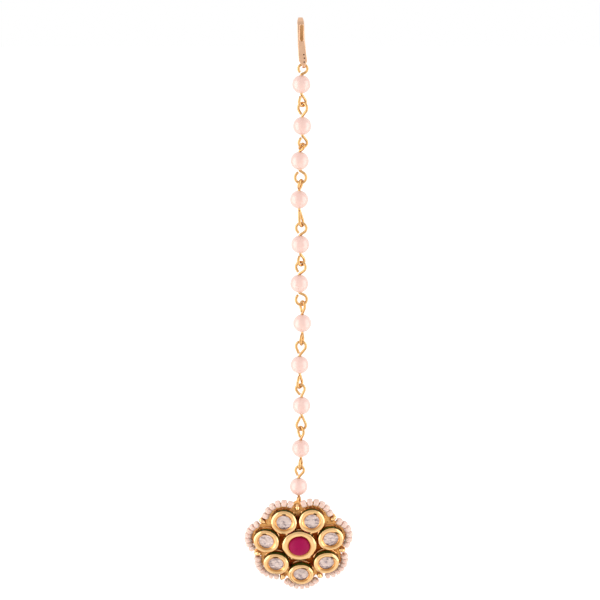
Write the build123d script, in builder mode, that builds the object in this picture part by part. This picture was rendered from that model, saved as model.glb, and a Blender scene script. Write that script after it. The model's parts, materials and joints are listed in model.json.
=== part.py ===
"""A maang tikka: a hair hook, a chain of pearls on eye pins, and a seven-lobed pearl-edged drop.

Millimetres, +Z up. The piece hangs as it does from a stand: the origin is the inside top of the
hook's bend, the chain falls along -Z under it, and -Y is the front that the stones face.
"""

import os
from math import asin, atan2, cos, degrees, radians, sin, sqrt

from build123d import *

# ---- driving dimensions -----------------------------------------------------------------------

# hook: one pressed strip
STRIP_THICK = 0.5
STRIP_STOCK = 4.0  # half width of the stock that the strip's outline is cut from
CUT_DEPTH = 8.0  # a cut this deep goes right through any piece
BEND_INNER = 2.6  # inside radius of the bend that goes over the hair or the parting wire
EYE_INNER = 0.55  # inside radius of the rolled eye
EYE_ROLL = 280.0  # degrees of roll, which leaves the eye a little open
EYE_HEIGHT = -12.2  # height of the eye's centre
RETURN_LEG = 5.0  # straight part of the leg behind
KICK_RADIUS = 4.0  # the leg's tip turns outwards, so that it slides over hair
KICK_TURN = 22.0
SLOT_WIDTH = 0.95
SLOT_TOP, SLOT_BOTTOM = -1.6, -6.0
SLOT_X = 0.46
DIMPLE_DIAMETER = 0.4
# the three punched dimples, half through the strip: x, and how far up the shank from the eye
DIMPLES = [(0.92, 3.05), (1.08, 2.07), (1.02, 0.95)]
# front outline of the strip: height, left edge, right edge
STRIP_OUTLINE = [
    (0.9, -0.20, 0.15),
    (0.45, -0.45, 0.42),
    (0.1, -0.68, 0.70),
    (-0.8, -0.86, 0.98),
    (-2.0, -0.84, 1.06),
    (-6.0, -0.72, 1.22),
    (-9.0, -0.62, 1.60),
    (-11.2, -0.45, 1.90),
    (-12.0, 0.10, 1.55),
    (-12.35, 0.48, 1.32),
    (-14.0, 0.48, 1.32),
]

# chain: pearls on eye pins
WIRE = 0.75
PEARL = 5.0
BORE_CLEARANCE = 0.05
LOOP_START = 0.15  # the wire bends this far outside the pearl
LOOP_END_GAP = 0.62  # the cut end of a loop stops this far from the bend
LINK_GAP = 0.05  # air between two linked wires
HOOK_LINK_GAP = 0.10

# one row for each pearl and its pin, from the hook down:
# pearl_x is the pearl's offset, reach is pearl centre to the far wire of a loop, width is across
# the loop between wire centres, turn is the loop's plane about the vertical (0 faces the front),
# and link_x is where the next link hangs
PIN_COLUMNS = (
    "pearl_x",
    "upper_reach",
    "upper_width",
    "upper_turn",
    "lower_reach",
    "lower_width",
    "lower_turn",
    "link_x",
)
PIN_ROWS = [
    (0.25, 5.30, 2.4, 0, 5.90, 2.1, 30, 0.70),
    (0.50, 6.25, 2.8, -34, 5.80, 2.3, 16, 0.80),
    (-0.20, 4.60, 1.8, -54, 6.10, 3.0, 0, 0.25),
    (-0.35, 5.40, 2.4, 70, 7.40, 2.3, 66, 0.45),
    (-0.05, 5.90, 2.8, -5, 5.85, 2.4, 46, 0.40),
    (-0.30, 5.95, 2.8, -22, 5.90, 3.0, 8, 0.70),
    (0.50, 6.15, 2.5, -62, 6.05, 2.4, 73, 0.35),
    (-0.20, 6.60, 2.7, -3, 6.55, 2.4, 58, -0.15),
    (0.30, 6.00, 2.4, -8, 7.00, 2.6, 8, 0.20),
    (0.10, 6.20, 2.6, -56, 6.05, 2.4, 74, 0.00),
    (-0.50, 5.90, 2.3, 0, 5.25, 2.1, 74, -0.45),
]

# drop: a shallow dome, seven lobes round a middle setting
PENDANT_TILT = 15.05  # the face leans down at rest, because it hangs from a ring behind it
PENDANT_ROLL = 2.8  # and it hangs a little turned on its face
RING_UP = 12.0  # ring's bar above the face's centre
RING_BACK = 3.4  # behind it
RING_LEFT = 0.15  # and left of it
RING_LINK_GAP = 0.10
RING_WIRE = 0.6
RING_WIDTH = 2.4
RING_CORNER = 0.48  # radius of the ring's bends, on the wire's centre
RING_FOOT = 1.0  # the ring's feet are soldered on this much nearer the middle than its bar
LOBES = 7
DOME_RADIUS = 70.0
PLATE_THICK = 0.8
# how far each of the seven settings stands from the middle, from the lobe left of the top,
# anticlockwise from the front
LOBE_CIRCLES = (8.85, 9.30, 8.60, 9.20, 9.25, 9.05, 8.85)
LOBE_PLATE = 4.45  # plate radius round each setting
MIDDLE_PLATE = 10.0  # and round the middle one, under the feet of the seven
# how far out the balls are soldered at the junctions of the lobes, from the top one round
GRANULE_CIRCLES = (11.0, 12.7, 12.2, 12.2, 12.2, 12.2, 12.5)
GRANULE = 1.64
GRANULE_LIFT = 0.45
# a tab of the plate fills the gap between two strings of small pearls: radius, half width
TAB_OUTLINE = [(9.5, 1.40), (11.7, 1.35), (13.3, 0.38)]
# a cup: outer radius, rim's crest radius, opening radius, crest height above the plate
OUTER_CUP = (3.6, 3.12, 2.14, 2.4)
MIDDLE_CUP = (4.85, 4.2, 3.0, 1.5)
COLLAR = 0.12  # the solder line round a cup's foot stands out this far
COLLAR_HIGH = 0.22
RIM_DROP = 0.45  # the rim falls this far from its crest, both ways
LIP = 0.12  # thickness of the rim's inner edge
UNDERCUT = 0.25  # the stone goes this far under the rim
POCKET_DEPTH = 0.75  # from the opening down to the foil under the stone
STONE_GAP = 0.05
CROWN = 0.16  # rise of a clear stone's top
CROWN_FLAT = 0.45  # share of the opening that the flat part of its top takes
RUBY_RISE = 2.2  # rise of the red stone above the opening
SEED_CIRCLE = 5.4  # radius of a lobe's string of small pearls, round its setting
SEED_LIFT = 0.6  # string's height above the plate's face, which lets it lap the plate's edge
SEED_WIRE = 0.36
SEED_ACROSS = 2.14
# small pearls in each lobe, from the lobe left of the top, anticlockwise from the front
SEEDS = (6, 7, 7, 7, 7, 6, 6)
SEED_REACH = 56.0  # degrees from the middle of a string to its last small pearl's far end
SEED_END_GAP = 0.06


# ---- helpers ----------------------------------------------------------------------------------


def keep(node, part):
    """Label a finished piece and write its STEP file."""
    part.label = node
    export_step(part, f"parts/{node}.step")


def teardrop(apex, tip, width, turn):
    """The centre line of a wire loop: out from apex, round by tip, and back almost to apex."""
    reach = tip - apex
    side = Vector(cos(radians(turn)), sin(radians(turn)), 0)
    normal = side.cross(reach)
    plane = Plane(origin=apex, x_dir=reach.cross(normal), z_dir=normal)
    radius = width / 2
    centre = reach.length - radius
    half_angle = asin(radius / centre)
    tangent_x = radius * cos(half_angle)
    tangent_y = centre - radius * sin(half_angle)
    with BuildLine(plane) as loop:
        Line((0, 0), (tangent_x, tangent_y))
        ThreePointArc((tangent_x, tangent_y), (0, reach.length), (-tangent_x, tangent_y))
        Line(
            (-tangent_x, tangent_y),
            (-LOOP_END_GAP * sin(half_angle), LOOP_END_GAP * cos(half_angle)),
        )
    return loop.wire()


def dome_drop(radius):
    """How far the dome has fallen at this radius from its middle."""
    return DOME_RADIUS - sqrt(DOME_RADIUS**2 - radius**2)


def dome_plane(face, radius, angle):
    """A plane that lies on the dome, its x outwards from the middle of the face."""
    out = face.x_dir * cos(radians(angle)) + face.y_dir * sin(radians(angle))
    origin = face.origin + out * radius - face.z_dir * dome_drop(radius)
    lean = asin(radius / DOME_RADIUS)
    return Plane(
        origin=origin,
        x_dir=out * cos(lean) - face.z_dir * sin(lean),
        z_dir=face.z_dir * cos(lean) + out * sin(lean),
    )


def section_plane(base):
    """The plane that holds the axis of base: its x is base's x, and its y is base's normal."""
    return Plane(origin=base.origin, x_dir=base.x_dir, z_dir=-base.y_dir)


def cup_section(plane, outer, crest, opening, top):
    """Half section of a closed-back cup with a broad bevelled rim."""
    shoulder = top - RIM_DROP
    pocket = opening + UNDERCUT
    floor = shoulder - POCKET_DEPTH
    with BuildSketch(plane) as section:
        with BuildLine():
            Polyline(
                (outer, shoulder),
                (outer - COLLAR / 2, shoulder - COLLAR),
                (outer - COLLAR / 2, COLLAR_HIGH),
                (outer + COLLAR, COLLAR_HIGH / 2),
                (outer + COLLAR, -PLATE_THICK / 2),
                (0, -PLATE_THICK / 2),
                (0, floor),
                (pocket, floor),
                (pocket, shoulder - LIP),
                (opening, shoulder - LIP / 2),
                (opening, shoulder),
                (crest - COLLAR, top - COLLAR / 2),
            )
            ThreePointArc((crest - COLLAR, top - COLLAR / 2), (crest, top), (outer, shoulder))
        make_face()
    return section.sketch


def clear_section(plane, opening, top):
    """Half section of an uncut stone, under the rim all round, with a low crown."""
    girdle = opening + UNDERCUT - STONE_GAP
    floor = top - RIM_DROP - POCKET_DEPTH + STONE_GAP
    shoulder = top - RIM_DROP - LIP - STONE_GAP
    edge = opening - STONE_GAP
    with BuildSketch(plane) as section:
        with BuildLine():
            Polyline(
                (0, floor),
                (girdle, floor),
                (girdle, shoulder - STONE_GAP),
                (edge, shoulder + STONE_GAP),
                (CROWN_FLAT * opening, shoulder + CROWN),
                (0, shoulder + CROWN + STONE_GAP),
                close=True,
            )
        make_face()
    return section.sketch


def ruby_section(plane, opening, top):
    """Half section of a high round cabochon."""
    girdle = opening + UNDERCUT - STONE_GAP
    floor = top - RIM_DROP - POCKET_DEPTH + STONE_GAP
    shoulder = top - RIM_DROP - LIP - STONE_GAP
    edge = opening - STONE_GAP
    dome = (edge**2 + RUBY_RISE**2) / (2 * RUBY_RISE)
    halfway = asin(edge / dome) / 2
    with BuildSketch(plane) as section:
        with BuildLine():
            Polyline(
                (0, shoulder + RUBY_RISE),
                (0, floor),
                (girdle, floor),
                (girdle, shoulder - STONE_GAP),
                (edge, shoulder),
            )
            ThreePointArc(
                (edge, shoulder),
                (dome * sin(halfway), shoulder + RUBY_RISE - dome * (1 - cos(halfway))),
                (0, shoulder + RUBY_RISE),
            )
        make_face()
    return section.sketch


# ---- places worked out from the dimensions ----------------------------------------------------

strip_middle = BEND_INNER + STRIP_THICK / 2
eye_middle = EYE_INNER + STRIP_THICK / 2
bend_centre = Vector(0, 0, -BEND_INNER)
eye_centre = Vector(0, 0, EYE_HEIGHT)
# the shank runs straight from the bend to the eye, which brings the eye under the bend's middle
shank_offset = strip_middle - eye_middle
bend_to_eye = bend_centre.Z - EYE_HEIGHT
shank_lean = asin(shank_offset / bend_to_eye)
shank_length = sqrt(bend_to_eye**2 - shank_offset**2)

first_link = Vector(1.0, 0, EYE_HEIGHT - EYE_INNER + HOOK_LINK_GAP + WIRE / 2)
pins = []
link = first_link
for row in PIN_ROWS:
    pin = dict(zip(PIN_COLUMNS, row))
    pin["top"] = link
    pin["pearl"] = Vector(pin["pearl_x"], 0, link.Z - pin["upper_reach"])
    pin["bottom"] = Vector(pin["link_x"], 0, pin["pearl"].Z - pin["lower_reach"])
    link = pin["bottom"] + Vector(0, 0, WIRE + LINK_GAP)
    pins.append(pin)

hinge = pins[-1]["bottom"] + Vector(0, 0, (WIRE + RING_WIRE) / 2 + RING_LINK_GAP)
face_normal = Vector(0, -cos(radians(PENDANT_TILT)), -sin(radians(PENDANT_TILT)))
face_up = Vector(0, -sin(radians(PENDANT_TILT)), cos(radians(PENDANT_TILT)))
face_centre = hinge - face_up * RING_UP + face_normal * RING_BACK + Vector(RING_LEFT, 0, 0)
face_x = Vector(1, 0, 0) * cos(radians(PENDANT_ROLL)) + face_up * sin(radians(PENDANT_ROLL))
face = Plane(origin=face_centre, x_dir=face_x, z_dir=face_normal)

lobe_step = 360 / LOBES
junction_angles = [90 + lobe_step * k for k in range(LOBES)]
setting_planes = [
    dome_plane(face, circle, angle + lobe_step / 2)
    for circle, angle in zip(LOBE_CIRCLES, junction_angles)
]
lobe_centres = [face.to_local_coords(plane.origin) for plane in setting_planes]

os.makedirs("parts", exist_ok=True)

# ---- hook -------------------------------------------------------------------------------------

side = Plane(origin=(0, 0, 0), x_dir=(0, 1, 0), z_dir=(1, 0, 0))  # side x is +Y, side y is +Z
along = Vector(sin(shank_lean), -cos(shank_lean))  # down the shank
across = Vector(cos(shank_lean), sin(shank_lean))  # from the shank towards the leg behind
bend = Vector(0, bend_centre.Z)
shank_top = bend - across * strip_middle
shank_end = shank_top + along * shank_length
leg_top = bend + across * strip_middle
leg_end = leg_top + along * RETURN_LEG
bend_top = bend - along * strip_middle
eye = Vector(0, EYE_HEIGHT)
shank_bearing = degrees(atan2(-across.Y, -across.X))
kick_centre = leg_end + across * KICK_RADIUS
# the middle of the shank's thickness, seen from the front, from the eye up
shank_middle = Plane(
    origin=(0, shank_end.X, shank_end.Y), x_dir=(1, 0, 0), z_dir=(0, -across.X, -across.Y)
)

with BuildPart() as hook:
    with BuildSketch(side):
        with BuildLine():
            CenterArc(eye, eye_middle, shank_bearing, EYE_ROLL)
            Line(shank_end, shank_top)
            ThreePointArc(shank_top, bend_top, leg_top)
            Line(leg_top, leg_end)
            CenterArc(kick_centre, KICK_RADIUS, shank_bearing, KICK_TURN)
        trace(line_width=STRIP_THICK)
    extrude(amount=STRIP_STOCK, both=True)
    with BuildSketch(Plane.XZ):
        with BuildLine():
            left = [(x, z) for z, x, _ in STRIP_OUTLINE]
            right = [(x, z) for z, _, x in reversed(STRIP_OUTLINE)]
            Polyline(*left, *right, close=True)
        make_face()
    extrude(amount=CUT_DEPTH, both=True, mode=Mode.INTERSECT)
    with BuildSketch(Plane.XZ):
        with Locations((SLOT_X, (SLOT_TOP + SLOT_BOTTOM) / 2)):
            SlotOverall(SLOT_TOP - SLOT_BOTTOM, SLOT_WIDTH, rotation=90)
    extrude(amount=CUT_DEPTH, mode=Mode.SUBTRACT)
    with BuildSketch(shank_middle):
        with Locations(*DIMPLES):
            Circle(DIMPLE_DIAMETER / 2)
    extrude(amount=STRIP_THICK, mode=Mode.SUBTRACT)
keep("hook", hook.part)

# ---- chain ------------------------------------------------------------------------------------

for number, pin in enumerate(pins, start=1):
    bend_height = Vector(0, 0, PEARL / 2 + LOOP_START)
    upper = teardrop(pin["pearl"] + bend_height, pin["top"], pin["upper_width"], pin["upper_turn"])
    lower = teardrop(
        pin["pearl"] - bend_height, pin["bottom"], pin["lower_width"], pin["lower_turn"]
    )
    with BuildPart() as eye_pin:
        with Locations(pin["pearl"]):
            Cylinder(WIRE / 2, 2 * bend_height.Z)
        for loop in (upper, lower):
            with Locations(loop @ 0):
                Sphere(WIRE / 2)
            with BuildSketch(Plane(origin=loop @ 0, z_dir=loop % 0)):
                Circle(WIRE / 2)
            sweep(path=loop)
    keep(f"eye_pin_{number}", eye_pin.part)

    with BuildPart() as pearl:
        with Locations(pin["pearl"]):
            Sphere(PEARL / 2)
            Cylinder(WIRE / 2 + BORE_CLEARANCE, PEARL, mode=Mode.SUBTRACT)
    keep(f"pearl_{number}", pearl.part)

# ---- drop -------------------------------------------------------------------------------------

dome_centre = face.origin - face.z_dir * DOME_RADIUS
with BuildPart() as pendant_frame:
    # back plate: scalloped outline with a tab at each junction, cut from the dome
    with BuildSketch(face):
        Circle(MIDDLE_PLATE)
        with Locations(*[(centre.X, centre.Y) for centre in lobe_centres]):
            Circle(LOBE_PLATE)
        with PolarLocations(0, LOBES, start_angle=90):
            other_side = [(out, -half) for out, half in reversed(TAB_OUTLINE)]
            Polygon(*TAB_OUTLINE, *other_side, align=None)
    extrude(amount=CUT_DEPTH, both=True)
    with Locations(dome_centre):
        Sphere(DOME_RADIUS, mode=Mode.INTERSECT)
        Sphere(DOME_RADIUS - PLATE_THICK, mode=Mode.SUBTRACT)
    # cups
    revolve(cup_section(section_plane(face), *MIDDLE_CUP), axis=Axis(face.origin, face.z_dir))
    for plane in setting_planes:
        section = cup_section(section_plane(plane), *OUTER_CUP)
        revolve(section, axis=Axis(plane.origin, plane.z_dir))
    # granules
    for angle, circle in zip(junction_angles, GRANULE_CIRCLES):
        seat = dome_plane(face, circle, angle)
        with Locations(seat.origin + seat.z_dir * GRANULE_LIFT):
            Sphere(GRANULE / 2)
    # the ring behind: a staple whose bar the last link holds
    foot_up = RING_UP - RING_FOOT
    foot = Vector(-RING_LEFT, foot_up, -PLATE_THICK / 2 - dome_drop(foot_up))
    hang = Plane(origin=face.origin, x_dir=(1, 0, 0), z_dir=face.z_dir)
    rise = hinge - hang.from_local_coords(foot)
    staple = Plane(origin=hinge, x_dir=(1, 0, 0), z_dir=Vector(1, 0, 0).cross(rise))
    half = RING_WIDTH / 2
    with BuildLine(staple):
        ring = FilletPolyline(
            (-half, -rise.length),
            (-half, 0),
            (half, 0),
            (half, -rise.length),
            radius=RING_CORNER,
        )
    with BuildSketch(Plane(origin=ring @ 0, z_dir=ring % 0)):
        Circle(RING_WIRE / 2)
    sweep()
keep("pendant_frame", pendant_frame.part)

for number, plane in enumerate(setting_planes, start=1):
    with BuildPart() as clear_stone:
        section = clear_section(section_plane(plane), OUTER_CUP[2], OUTER_CUP[3])
        revolve(section, axis=Axis(plane.origin, plane.z_dir))
    keep(f"clear_stone_{number}", clear_stone.part)

with BuildPart() as ruby_stone:
    section = ruby_section(section_plane(face), MIDDLE_CUP[2], MIDDLE_CUP[3])
    revolve(section, axis=Axis(face.origin, face.z_dir))
keep("ruby_stone", ruby_stone.part)

for number, (plane, seeds) in enumerate(zip(setting_planes, SEEDS), start=1):
    string_plane = plane.offset(SEED_LIFT)
    step = 2 * SEED_REACH / seeds
    flat = degrees(asin((radians(step) * SEED_CIRCLE - SEED_END_GAP) / SEED_ACROSS))
    # the wire goes on a little past the last small pearls, up to the tabs
    end = SEED_REACH + degrees(SEED_END_GAP / SEED_CIRCLE)
    with BuildPart() as seed_pearl_string:
        with BuildLine(string_plane):
            thread = CenterArc((0, 0), SEED_CIRCLE, -end, 2 * end)
        with BuildSketch(Plane(origin=thread @ 0, z_dir=thread % 0)):
            Circle(SEED_WIRE / 2)
        sweep(path=thread)
        with Locations(string_plane):
            with PolarLocations(
                SEED_CIRCLE, seeds, step / 2 - SEED_REACH, 2 * SEED_REACH - step, endpoint=True
            ):
                # each small pearl is round across its wire and cut flat at both drilled ends
                Sphere(SEED_ACROSS / 2, -flat, flat, rotation=(90, 0, 0))
    keep(f"seed_pearl_string_{number}", seed_pearl_string.part)

print("hinge at", [round(value, 3) for value in tuple(hinge)])
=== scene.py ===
# A maang tikka: a hook, a chain of eleven pearls, and a seven-lobed drop set with stones.
# Meshes are worked in millimetres on the CAD's own axes, and brought to metres when finished.

import json
import random
from math import asin, atan2, ceil, cos, pi, radians, sin, sqrt, tan

import bmesh
import bpy
from mathutils import Matrix, Vector, noise


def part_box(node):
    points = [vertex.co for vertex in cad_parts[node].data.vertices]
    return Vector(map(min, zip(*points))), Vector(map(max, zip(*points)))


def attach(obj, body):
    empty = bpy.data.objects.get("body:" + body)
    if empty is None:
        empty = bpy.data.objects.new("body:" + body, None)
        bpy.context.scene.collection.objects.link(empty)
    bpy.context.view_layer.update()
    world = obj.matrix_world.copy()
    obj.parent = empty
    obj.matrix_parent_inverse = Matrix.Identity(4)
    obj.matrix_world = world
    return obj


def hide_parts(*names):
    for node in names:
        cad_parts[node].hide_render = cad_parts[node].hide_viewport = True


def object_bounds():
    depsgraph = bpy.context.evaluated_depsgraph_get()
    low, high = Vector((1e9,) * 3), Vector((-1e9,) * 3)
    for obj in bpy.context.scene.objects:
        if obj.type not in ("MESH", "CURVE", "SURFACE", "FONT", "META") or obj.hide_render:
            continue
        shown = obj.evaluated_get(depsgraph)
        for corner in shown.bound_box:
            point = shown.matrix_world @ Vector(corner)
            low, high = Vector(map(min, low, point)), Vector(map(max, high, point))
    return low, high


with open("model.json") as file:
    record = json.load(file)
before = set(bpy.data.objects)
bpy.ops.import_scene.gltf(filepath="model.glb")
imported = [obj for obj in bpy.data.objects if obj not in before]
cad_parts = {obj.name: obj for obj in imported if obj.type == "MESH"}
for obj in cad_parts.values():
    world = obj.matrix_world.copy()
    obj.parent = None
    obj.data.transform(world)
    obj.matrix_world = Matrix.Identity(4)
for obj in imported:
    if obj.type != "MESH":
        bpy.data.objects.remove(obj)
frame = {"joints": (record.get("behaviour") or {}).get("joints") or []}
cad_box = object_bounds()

# ---- hook -------------------------------------------------------------------------------------
# One strip of brass 0.5 mm thick, blanked with a slot, punched with three dimples, tumbled round
# at its edges, then bent over at the top and rolled into an eye at the foot. Its plating is a pale
# rose gold, a little pinker than the drop's.

MM = 0.001

STRIP_THICK = 0.5
STRIP_MIDDLE = 2.85  # radius of the bend at the strip's middle
EYE_MIDDLE = 0.8  # and of the eye
EYE_ROLL = radians(280)
BEND_TO_EYE = 9.6  # height between the bend's centre and the eye's
LEG = 5.0  # the straight of the back leg, and then its tip kicks out
KICK_RADIUS, KICK_TURN = 4.0, radians(22)
STRIP_FOLDS = 110  # rows of faces along the strip, so that it bends smoothly
STRIP_SOFTENED = 0.17  # how far the edges are rounded
# the slot and the dimples, on the flat strip: along is from the start of the bend, downwards minus
SLOT_X, SLOT_WIDTH = 0.34, 0.95
SLOT_FROM, SLOT_TO = -2.64, 1.85
SLOT_CORNERS = 24
DIMPLES = [(0.92, -6.33), (1.08, -7.31), (1.02, -8.43)]  # across, along
DIMPLE, DIMPLE_SLOPE, DIMPLE_DEPTH = 0.4, 0.06, 0.22
DIMPLE_CORNERS = 14
# the bent strip's edges seen from the front: height, left, right
STRIP_EDGES = [
    (0.9, -0.24, 0.19),
    (0.45, -0.52, 0.50),
    (0.1, -0.68, 0.70),
    (-0.8, -0.86, 0.98),
    (-2.0, -0.84, 1.06),
    (-6.0, -0.72, 1.22),
    (-9.0, -0.62, 1.60),
    (-11.2, -0.45, 1.90),
    (-12.0, 0.10, 1.55),
    (-12.35, 0.48, 1.32),
    (-14.0, 0.48, 1.32),
]

shank_lean = asin((STRIP_MIDDLE - EYE_MIDDLE) / BEND_TO_EYE)
shank = BEND_TO_EYE * cos(shank_lean)
over = pi * STRIP_MIDDLE
hook_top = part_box("hook")[1].z / MM
bend_height = hook_top - STRIP_MIDDLE - STRIP_THICK / 2


def bend(point, start, radius, turn, side, way=1):
    """Wraps the strip beyond start round a radius, towards side, going up (way 1) or down (-1)."""
    beyond = way * (point.z - start)
    if beyond <= 0:
        return point
    wrapped = min(beyond, radius * turn)
    angle = wrapped / radius
    rest = beyond - wrapped
    y = side * radius * (1 - cos(angle)) + point.y * cos(angle) + side * rest * sin(angle)
    z = radius * sin(angle) - side * point.y * sin(angle) + rest * cos(angle)
    return Vector((point.x, y, start + way * z))


def folded(point):
    """Where a point of the flat strip ends up: across is x, thickness y, length z."""
    point = bend(point, over + LEG, KICK_RADIUS, KICK_TURN, -1)
    point = bend(point, 0, STRIP_MIDDLE, pi, 1)
    point = bend(point, -shank, EYE_MIDDLE, EYE_ROLL, 1, way=-1)
    point = Matrix.Rotation(shank_lean, 3, "X") @ (point - Vector((0, STRIP_MIDDLE, 0)))
    return point + Vector((0, 0, bend_height))


def edges_at(height):
    """Left and right edge of the bent strip at this height."""
    for (z1, left1, right1), (z2, left2, right2) in zip(STRIP_EDGES, STRIP_EDGES[1:]):
        if height >= z2:
            share = min(1, (z1 - height) / (z1 - z2))
            return left1 + share * (left2 - left1), right1 + share * (right2 - right1)
    return left2, right2


def closed_loop(bm, points):
    """Draws a closed line of edges through points."""
    corners = [bm.verts.new(point) for point in points]
    return [bm.edges.new(pair) for pair in zip(corners, corners[1:] + corners[:1])]


def around(middle, along, wide, tall, corners):
    """Points round an upright slot, or round a circle where wide equals tall."""
    half, straight = wide / 2, (tall - wide) / 2
    turns = [2 * pi * (k + 0.5) / corners for k in range(corners)]
    return [
        (middle + half * cos(t), 0, along + half * sin(t) + straight * (1 if sin(t) > 0 else -1))
        for t in turns
    ]


def thickened(bm, faces, by):
    """Gives flat faces a thickness, by this vector."""
    grown = bmesh.ops.extrude_face_region(bm, geom=faces)["geom"]
    corners = [part for part in grown if isinstance(part, bmesh.types.BMVert)]
    bmesh.ops.translate(bm, verts=corners, vec=by)


def soften(bm, offset, sharper_than=50, segments=2):
    """Rounds every edge that is sharper than this many degrees."""
    bmesh.ops.recalc_face_normals(bm, faces=bm.faces)
    bmesh.ops.bevel(
        bm,
        geom=[edge for edge in bm.edges if edge.calc_face_angle(0) > radians(sharper_than)],
        offset=offset,
        affect="EDGES",
        segments=segments,
        profile=0.5,
        material=-1,
        clamp_overlap=True,
    )


def colour(code):
    """A linear colour from an sRGB hex value."""
    channels = [int(code[k : k + 2], 16) / 255 for k in (1, 3, 5)]
    return [c / 12.92 if c < 0.04045 else ((c + 0.055) / 1.055) ** 2.4 for c in channels] + [1]


def put(tree, kind, inputs, **settings):
    """Adds a node with its settings, and sets or links its inputs."""
    made = tree.nodes.new("ShaderNode" + kind)
    for name, value in settings.items():
        setattr(made, name, value)
    for name, value in inputs.items():
        if isinstance(value, bpy.types.NodeSocket):
            tree.links.new(value, made.inputs[name])
        else:
            made.inputs[name].default_value = value
    return made


def new_material(name, **sockets):
    """A Principled material with these even values, and the place that its patterns read."""
    material = bpy.data.materials.new(name)
    material.use_nodes = True
    tree = material.node_tree
    shader = tree.nodes["Principled BSDF"]
    for socket, value in sockets.items():
        shader.inputs[socket.replace("_", " ")].default_value = value
    place = put(tree, "TexCoord", {}).outputs["Object"]
    return material, tree, shader, place


def two_tones(tree, shader, place, one, other, size, detail):
    """Lets the colour drift between two tones, in clouds of about this size."""
    clouds = put(tree, "TexNoise", {"Vector": place, "Scale": 1 / (size * MM), "Detail": detail})
    tone = put(
        tree,
        "Mix",
        {0: clouds.outputs[0], 6: colour(one), 7: colour(other)},
        data_type="RGBA",
    )
    tree.links.new(tone.outputs[2], shader.inputs["Base Color"])


def dented(tree, shader, place, size, depth, detail):
    """Gives the surface soft dents of about this size and depth."""
    dents = put(tree, "TexNoise", {"Vector": place, "Scale": 1 / (size * MM), "Detail": detail})
    bump = put(
        tree, "Bump", {"Height": dents.outputs[0], "Strength": 1.0, "Distance": depth * MM}
    )
    tree.links.new(bump.outputs[0], shader.inputs["Normal"])


TONE_SIZE, RUBBED_SIZE = 2.2, 0.7  # clouds in the plating's colour and in its gloss


def plated(name, pale, deep, smooth, rough, grain=0.35, depth=0.006):
    """Gilt brass: polished by hand, so its gloss and tone drift a little, with fine soft dents."""
    material, tree, shader, place = new_material(name, Metallic=1.0)
    two_tones(tree, shader, place, pale, deep, size=TONE_SIZE, detail=2.0)
    rubbed = put(tree, "TexNoise", {"Vector": place, "Scale": 1 / (RUBBED_SIZE * MM), "Detail": 3.0})
    gloss = put(
        tree,
        "MapRange",
        {
            "Value": rubbed.outputs[0],
            "From Min": 0.3,
            "From Max": 0.7,
            "To Min": smooth,
            "To Max": rough,
        },
    )
    tree.links.new(gloss.outputs[0], shader.inputs["Roughness"])
    dented(tree, shader, place, size=grain, depth=depth, detail=1.5)
    return material


def shade_painted_in_corners(material, reach, closed, clear, painted_shade):
    """Paints shade into the colour: brown in corners, where something else stands within this reach.
    """
    tree = material.node_tree
    shader = tree.nodes["Principled BSDF"]
    bright = shader.inputs["Base Color"].links[0].from_socket
    corners = put(tree, "AmbientOcclusion", {"Distance": reach * MM}, samples=6)
    open_share = put(
        tree, "MapRange", {"Value": corners.outputs["AO"], "From Min": closed, "From Max": clear}
    )
    tone = put(
        tree,
        "Mix",
        {0: open_share.outputs[0], 6: colour(painted_shade), 7: bright},
        data_type="RGBA",
    )
    tree.links.new(tone.outputs[2], shader.inputs["Base Color"])


def finish_piece(name, bm, material, body, stands_for, place=Matrix(), crease=35):
    """Brings a worked mesh to its place and to metres, hangs it on its body, and hides the parts it
    stands for.
    """
    bmesh.ops.recalc_face_normals(bm, faces=bm.faces)
    # a tight bend can mislead that, and then the volume comes out below zero
    if bm.calc_volume(signed=True) < 0:
        bmesh.ops.reverse_faces(bm, faces=bm.faces)
    bm.transform(Matrix.Scale(MM, 4) @ place)
    mesh = bpy.data.meshes.new(name)
    bm.to_mesh(mesh)
    bm.free()
    mesh.materials.append(material)
    mesh.shade_smooth()
    mesh.set_sharp_from_angle(angle=radians(crease))
    piece = bpy.data.objects.new(name, mesh)
    bpy.context.scene.collection.objects.link(piece)
    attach(piece, body)
    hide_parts(*stands_for)
    return piece


# the wheel gives the outside a soft gloss, and the slot, the dimples and the inside are duller;
# their darker, yellower colour and the brown in their corners are painted shade
rose_gold = plated("rose gold plated brass", "#F2C9A8", "#E0B08E", 0.16, 0.3)
shaded_brass = plated("rose gold brass in painted shade", "#DBAE7E", "#B88A56", 0.36, 0.52)
shade_painted_in_corners(shaded_brass, reach=0.6, closed=0.55, clear=0.95, painted_shade="#5A2A18")

strip_from = -shank - EYE_MIDDLE * EYE_ROLL
strip_to = over + LEG + KICK_RADIUS * KICK_TURN
fold = (strip_to - strip_from) / STRIP_FOLDS
rows = [strip_from + fold * k for k in range(STRIP_FOLDS + 1)]
edge_points = [(row, edges_at(folded(Vector((0, 0, row))).z)) for row in rows]
strip = bmesh.new()
lines = closed_loop(
    strip,
    [(left, 0, row) for row, (left, _) in edge_points]
    + [(right, 0, row) for row, (_, right) in reversed(edge_points)],
)
slot_along, slot_long = (SLOT_FROM + SLOT_TO) / 2, SLOT_TO - SLOT_FROM
lines += closed_loop(strip, around(SLOT_X, slot_along, SLOT_WIDTH, slot_long, SLOT_CORNERS))
rims = [
    closed_loop(strip, around(across, along, DIMPLE, DIMPLE, DIMPLE_CORNERS))
    for across, along in DIMPLES
]
bmesh.ops.triangle_fill(strip, edges=sum(rims, lines), use_beauty=True)
for rim in rims:
    bmesh.ops.contextual_create(strip, geom=rim)
bmesh.ops.translate(strip, verts=strip.verts, vec=(0, -STRIP_THICK / 2, 0))
thickened(strip, strip.faces[:], (0, STRIP_THICK, 0))
soften(strip, STRIP_SOFTENED, sharper_than=60, segments=3)
dimples = [
    side for side in strip.faces if len(side.verts) == DIMPLE_CORNERS and side.normal.y < -0.9
]
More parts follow.
